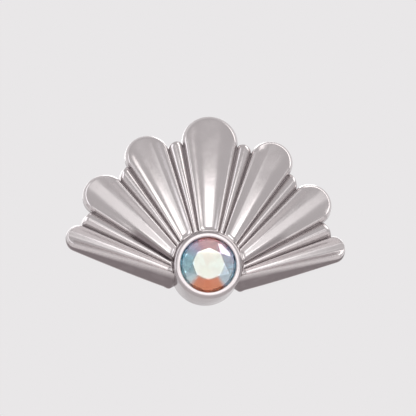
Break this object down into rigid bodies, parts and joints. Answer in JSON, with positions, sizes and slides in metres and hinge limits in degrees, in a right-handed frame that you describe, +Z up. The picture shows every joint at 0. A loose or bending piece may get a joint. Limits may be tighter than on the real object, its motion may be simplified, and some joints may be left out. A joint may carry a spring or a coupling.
{
  "type": "threaded piercing end",
  "caption": "Petal-fan end for body jewellery: a fluted cast fan and a round bezel-set stone on a screw post that threads into an internally threaded bar.",
  "frame": {"origin": "centre of the collar's rear face, where the bar butts against it and the skin lies", "axes": "+X to the viewer's right, +Y along the post into the body so the fan faces -Y, +Z up towards the middle petal"},
  "size_m": [0.0094, 0.0046, 0.0064],
  "materials": {
    "setting_metal": "cast titanium, tumbled and hand polished",
    "post_metal": "turned titanium, as machined",
    "coated_crystal": "round brilliant crystal with a thin rainbow coating"
  },
  "bodies": {
    "root": {"fan_setting": "setting_metal", "stone": "coated_crystal", "threaded_post": "post_metal"}
  },
  "joints": []
}
